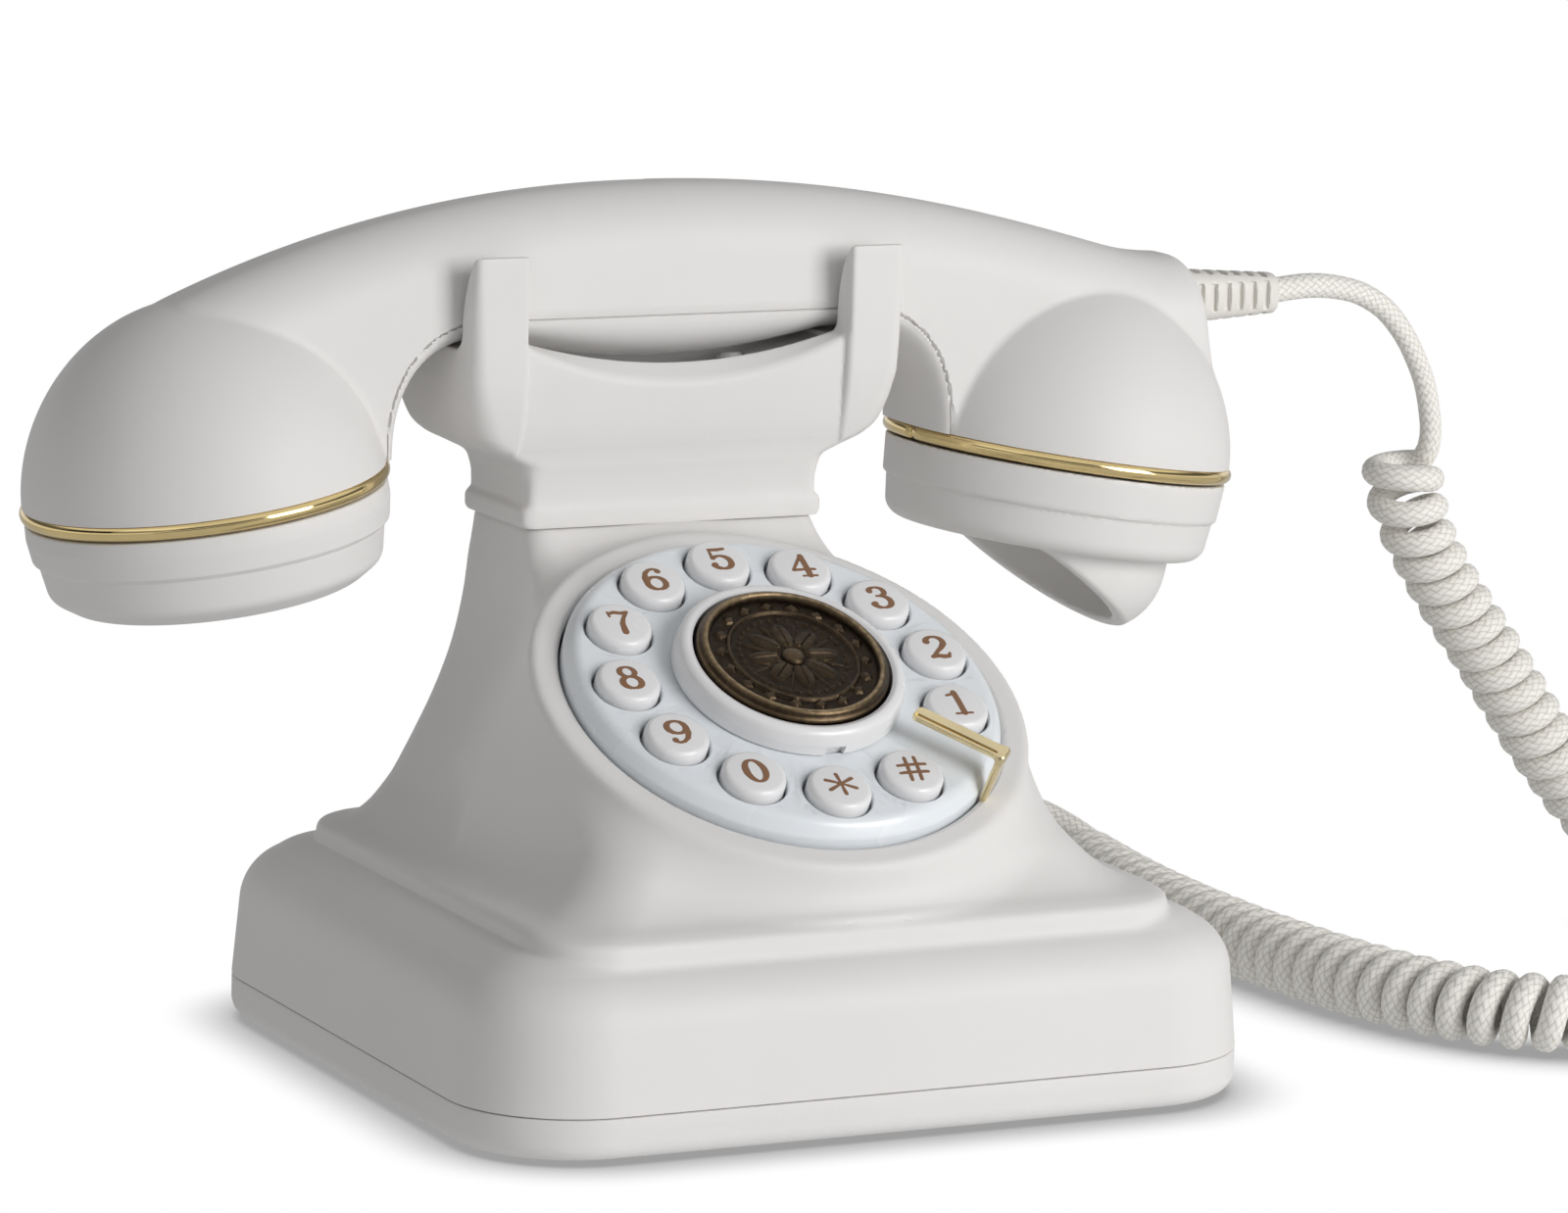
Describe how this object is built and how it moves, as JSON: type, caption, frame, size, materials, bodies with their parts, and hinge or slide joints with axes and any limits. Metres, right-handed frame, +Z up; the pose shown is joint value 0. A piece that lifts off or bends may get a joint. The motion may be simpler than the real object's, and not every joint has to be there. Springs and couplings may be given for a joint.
{
  "type": "push-button cradle telephone",
  "caption": "Desk telephone with a flared base, a round push-button dial, a lift-off handset on a pronged cradle, and a curly braided cord.",
  "frame": {"origin": "middle of the footprint, on the surface that the rubber feet stand on", "axes": "+Z up; the dial faces -Y; the handset lies along X with its earpiece at -X and its mouthpiece at +X"},
  "size_m": [0.3531, 0.1811, 0.1538],
  "materials": {
    "white_plastic": "satin warm white moulded plastic",
    "dial_plastic": "glossy cool white",
    "button_plastic": "glossy white with brown numbers",
    "polished_gold": "polished gold plating",
    "champagne_metal": "satin champagne gold",
    "antique_bronze": "antique bronze with bright high spots",
    "grey_rubber": "matte",
    "steel": "plain",
    "dark_plastic": "matte black",
    "circuit_board": "green board",
    "braided_cord": "woven cream grey braid",
    "cord_sleeve": "satin"
  },
  "bodies": {
    "telephone": {"base_plate": "white_plastic", "body_shell": "white_plastic", "cradle": "white_plastic", "dial_plate": "dial_plastic", "centre_ring": "button_plastic", "finger_stop": "champagne_metal", "foot_1": "grey_rubber", "foot_2": "grey_rubber", "foot_3": "grey_rubber", "foot_4": "grey_rubber", "key_mat": "grey_rubber", "case_screw_1": "steel", "case_screw_2": "steel", "case_screw_3": "steel", "case_screw_4": "steel", "ballast_weight": "steel", "hook_spring": "steel", "handset_jack": "dark_plastic", "line_jack": "dark_plastic", "hook_switch": "dark_plastic", "ringer_speaker": "dark_plastic", "main_board": "circuit_board", "key_board": "circuit_board", "handset_cord_upper": "braided_cord", "handset_cord_coil": "braided_cord", "handset_cord_lower": "braided_cord", "handset_cord_plug": "cord_sleeve"},
    "handset": {"handset_upper_shell": "white_plastic", "handset_lower_shell": "white_plastic", "ear_ring": "polished_gold", "mouth_ring": "polished_gold", "ear_cap": "white_plastic", "mouth_cap": "white_plastic", "receiver_capsule": "dark_plastic", "microphone_capsule": "steel", "microphone_grommet": "grey_rubber", "handset_weight": "steel", "strain_relief": "cord_sleeve"},
    "hook": {"hook_plunger": "white_plastic"},
    "redial": {"redial_button": "antique_bronze"},
    "key_1": {"button_1": "button_plastic"},
    "key_2": {"button_2": "button_plastic"},
    "key_3": {"button_3": "button_plastic"},
    "key_4": {"button_4": "button_plastic"},
    "key_5": {"button_5": "button_plastic"},
    "key_6": {"button_6": "button_plastic"},
    "key_7": {"button_7": "button_plastic"},
    "key_8": {"button_8": "button_plastic"},
    "key_9": {"button_9": "button_plastic"},
    "key_0": {"button_0": "button_plastic"},
    "key_star": {"button_star": "button_plastic"},
    "key_hash": {"button_hash": "button_plastic"}
  },
  "joints": [
    {"name": "handset_lift", "type": "slide", "parent": "telephone", "child": "handset", "axis": [0, 0, 1], "range_m": [0, 0.12]},
    {"name": "hook_rise", "type": "slide", "parent": "telephone", "child": "hook", "axis": [0, 0, 1], "range_m": [0, 0.004], "deforming": ["hook_spring"]},
    {"name": "redial_press", "type": "slide", "parent": "telephone", "child": "redial", "axis": [0, 0.506, -0.8625], "range_m": [0, 0.0015], "stiffness_N_per_m": 500},
    {"name": "key_1_press", "type": "slide", "parent": "telephone", "child": "key_1", "axis": [0, 0.506, -0.8625], "range_m": [0, 0.0016], "stiffness_N_per_m": 400},
    {"name": "key_2_press", "type": "slide", "parent": "telephone", "child": "key_2", "axis": [0, 0.506, -0.8625], "range_m": [0, 0.0016], "stiffness_N_per_m": 400},
    {"name": "key_3_press", "type": "slide", "parent": "telephone", "child": "key_3", "axis": [0, 0.506, -0.8625], "range_m": [0, 0.0016], "stiffness_N_per_m": 400},
    {"name": "key_4_press", "type": "slide", "parent": "telephone", "child": "key_4", "axis": [0, 0.506, -0.8625], "range_m": [0, 0.0016], "stiffness_N_per_m": 400},
    {"name": "key_5_press", "type": "slide", "parent": "telephone", "child": "key_5", "axis": [0, 0.506, -0.8625], "range_m": [0, 0.0016], "stiffness_N_per_m": 400},
    {"name": "key_6_press", "type": "slide", "parent": "telephone", "child": "key_6", "axis": [0, 0.506, -0.8625], "range_m": [0, 0.0016], "stiffness_N_per_m": 400},
    {"name": "key_7_press", "type": "slide", "parent": "telephone", "child": "key_7", "axis": [0, 0.506, -0.8625], "range_m": [0, 0.0016], "stiffness_N_per_m": 400},
    {"name": "key_8_press", "type": "slide", "parent": "telephone", "child": "key_8", "axis": [0, 0.506, -0.8625], "range_m": [0, 0.0016], "stiffness_N_per_m": 400},
    {"name": "key_9_press", "type": "slide", "parent": "telephone", "child": "key_9", "axis": [0, 0.506, -0.8625], "range_m": [0, 0.0016], "stiffness_N_per_m": 400},
    {"name": "key_0_press", "type": "slide", "parent": "telephone", "child": "key_0", "axis": [0, 0.506, -0.8625], "range_m": [0, 0.0016], "stiffness_N_per_m": 400},
    {"name": "key_star_press", "type": "slide", "parent": "telephone", "child": "key_star", "axis": [0, 0.506, -0.8625], "range_m": [0, 0.0016], "stiffness_N_per_m": 400},
    {"name": "key_hash_press", "type": "slide", "parent": "telephone", "child": "key_hash", "axis": [0, 0.506, -0.8625], "range_m": [0, 0.0016], "stiffness_N_per_m": 400}
  ],
  "couplings": [
    {"joint": "hook_rise", "follows": "handset_lift", "ratio": 0.0333}
  ]
}
